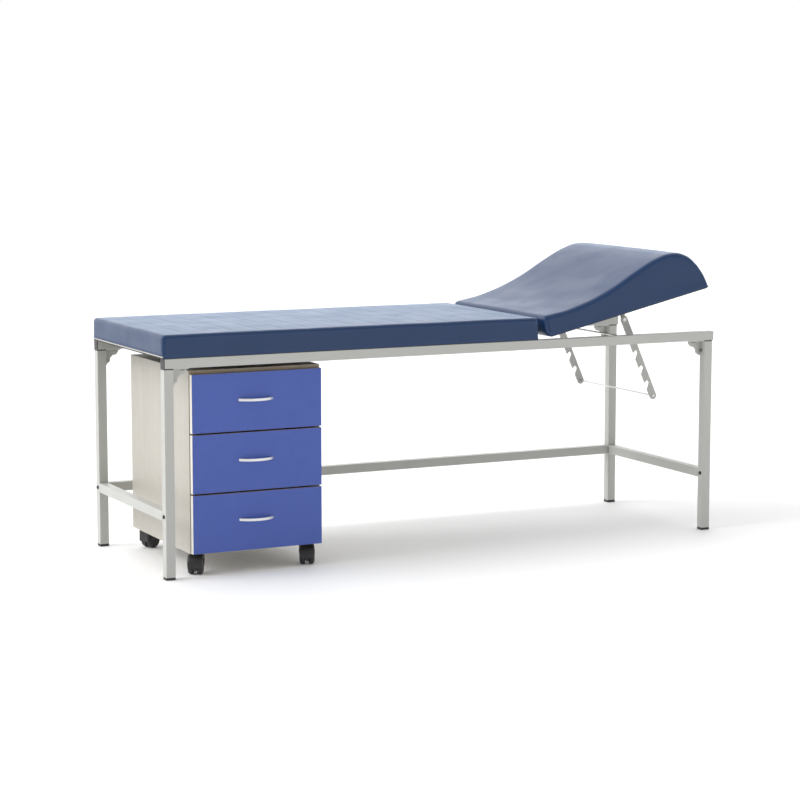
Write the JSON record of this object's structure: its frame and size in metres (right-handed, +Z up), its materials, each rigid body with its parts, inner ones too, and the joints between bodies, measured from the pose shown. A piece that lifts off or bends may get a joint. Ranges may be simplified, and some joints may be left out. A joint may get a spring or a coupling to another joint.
{
  "type": "medical exam table",
  "caption": "Upholstered exam couch on a square-tube steel frame, with a curved tilting headrest held by a ratchet and a rolling drawer cabinet underneath.",
  "frame": {"origin": "on the floor, under the middle of the couch's length and width", "axes": "+Z up, +X from the foot end to the headrest end, -Y toward the side the drawers open on"},
  "size_m": [1.954, 0.64, 0.9364],
  "materials": {
    "frame_paint": "satin",
    "black_plastic": "matte",
    "grey_plastic": "matte",
    "bracket_paint": "satin",
    "zinc": "satin",
    "dark_steel": "satin",
    "linkage_paint": "satin",
    "pad_board": "matte",
    "upholstery": "satin",
    "cabinet_board": "satin",
    "drawer_blue": "satin",
    "drawer_box_board": "satin",
    "handle_metal": "satin",
    "runner_steel": "satin",
    "caster_black": "matte",
    "caster_tread": "matte"
  },
  "bodies": {
    "couch": {"front_top_rail": "frame_paint", "back_top_rail": "frame_paint", "leg_front_left": "frame_paint", "leg_front_right": "frame_paint", "leg_back_left": "frame_paint", "leg_back_right": "frame_paint", "foot_end_stretcher": "frame_paint", "head_end_stretcher": "frame_paint", "back_stretcher": "frame_paint", "foot_cross_member": "frame_paint", "middle_cross_member": "frame_paint", "hinge_cross_member": "frame_paint", "foot_caps": "black_plastic", "leg_top_plugs": "black_plastic", "rail_caps_foot_end": "black_plastic", "rail_caps_head_end": "grey_plastic", "corner_brackets": "bracket_paint", "bracket_bolts": "zinc", "stretcher_screws": "dark_steel", "main_pad_board": "pad_board", "main_pad_cushion": "upholstery", "pad_screws": "zinc", "hinge_uprights": "linkage_paint", "hinge_rod": "zinc", "ratchet_rest_rod": "zinc"},
    "headrest": {"headrest_board": "pad_board", "headrest_cushion": "upholstery", "hinge_straps": "linkage_paint", "ratchet_lugs": "linkage_paint", "ratchet_pivot_pins": "zinc"},
    "ratchet": {"ratchet_bar_front": "linkage_paint", "ratchet_bar_back": "linkage_paint", "ratchet_cross_rod": "zinc"},
    "cabinet": {"cabinet_left_side": "cabinet_board", "cabinet_right_side": "cabinet_board", "cabinet_top": "cabinet_board", "cabinet_bottom": "cabinet_board", "cabinet_back": "cabinet_board", "cabinet_runners": "runner_steel", "caster_plates": "zinc"},
    "drawer_1": {"drawer_1_front": "drawer_blue", "drawer_1_box": "drawer_box_board", "drawer_1_slides": "runner_steel", "drawer_1_handle": "handle_metal"},
    "drawer_2": {"drawer_2_front": "drawer_blue", "drawer_2_box": "drawer_box_board", "drawer_2_slides": "runner_steel", "drawer_2_handle": "handle_metal"},
    "drawer_3": {"drawer_3_front": "drawer_blue", "drawer_3_box": "drawer_box_board", "drawer_3_slides": "runner_steel", "drawer_3_handle": "handle_metal"},
    "caster_front_left": {"caster_front_left_housing": "caster_black"},
    "wheel_front_left": {"caster_front_left_wheels": "caster_tread"},
    "caster_front_right": {"caster_front_right_housing": "caster_black"},
    "wheel_front_right": {"caster_front_right_wheels": "caster_tread"},
    "caster_back_left": {"caster_back_left_housing": "caster_black"},
    "wheel_back_left": {"caster_back_left_wheels": "caster_tread"},
    "caster_back_right": {"caster_back_right_housing": "caster_black"},
    "wheel_back_right": {"caster_back_right_wheels": "caster_tread"}
  },
  "joints": [
    {"name": "headrest_tilt", "type": "hinge", "parent": "couch", "child": "headrest", "pos_m": [0.3185, 0, 0.712], "axis": [0, -1, 0], "range_deg": [-12.8, 29]},
    {"name": "ratchet_swing", "type": "hinge", "parent": "headrest", "child": "ratchet", "pos_m": [0.6776, 0, 0.71691], "axis": [0, -1, 0], "range_deg": [-41.5, 18.5]},
    {"name": "cabinet_roll", "type": "slide", "parent": "couch", "child": "cabinet", "axis": [0, -1, 0], "range_m": [0, 0.65]},
    {"name": "drawer_1_slide", "type": "slide", "parent": "cabinet", "child": "drawer_1", "axis": [0, -1, 0], "range_m": [0, 0.4]},
    {"name": "drawer_2_slide", "type": "slide", "parent": "cabinet", "child": "drawer_2", "axis": [0, -1, 0], "range_m": [0, 0.4]},
    {"name": "drawer_3_slide", "type": "slide", "parent": "cabinet", "child": "drawer_3", "axis": [0, -1, 0], "range_m": [0, 0.4]},
    {"name": "swivel_front_left", "type": "hinge", "parent": "cabinet", "child": "caster_front_left", "pos_m": [-0.846, -0.243, 0.05], "axis": [0, 0, 1], "continuous": true},
    {"name": "spin_front_left", "type": "hinge", "parent": "caster_front_left", "child": "wheel_front_left", "pos_m": [-0.855, -0.25859, 0.024], "axis": [-0.866, 0.5, 0], "continuous": true},
    {"name": "swivel_front_right", "type": "hinge", "parent": "cabinet", "child": "caster_front_right", "pos_m": [-0.478, -0.243, 0.05], "axis": [0, 0, 1], "continuous": true},
    {"name": "spin_front_right", "type": "hinge", "parent": "caster_front_right", "child": "wheel_front_right", "pos_m": [-0.48416, -0.25991, 0.024], "axis": [-0.9397, 0.342, 0], "continuous": true},
    {"name": "swivel_back_left", "type": "hinge", "parent": "cabinet", "child": "caster_back_left", "pos_m": [-0.846, 0.208, 0.05], "axis": [0, 0, 1], "continuous": true},
    {"name": "spin_back_left", "type": "hinge", "parent": "caster_back_left", "child": "wheel_back_left", "pos_m": [-0.82909, 0.21416, 0.024], "axis": [0.342, -0.9397, 0], "continuous": true},
    {"name": "swivel_back_right", "type": "hinge", "parent": "cabinet", "child": "caster_back_right", "pos_m": [-0.478, 0.208, 0.05], "axis": [0, 0, 1], "continuous": true},
    {"name": "spin_back_right", "type": "hinge", "parent": "caster_back_right", "child": "wheel_back_right", "pos_m": [-0.49431, 0.20039, 0.024], "axis": [-0.4226, 0.9063, 0], "continuous": true}
  ],
  "couplings": [
    {"joint": "ratchet_swing", "follows": "headrest_tilt", "ratio": -1.39}
  ]
}
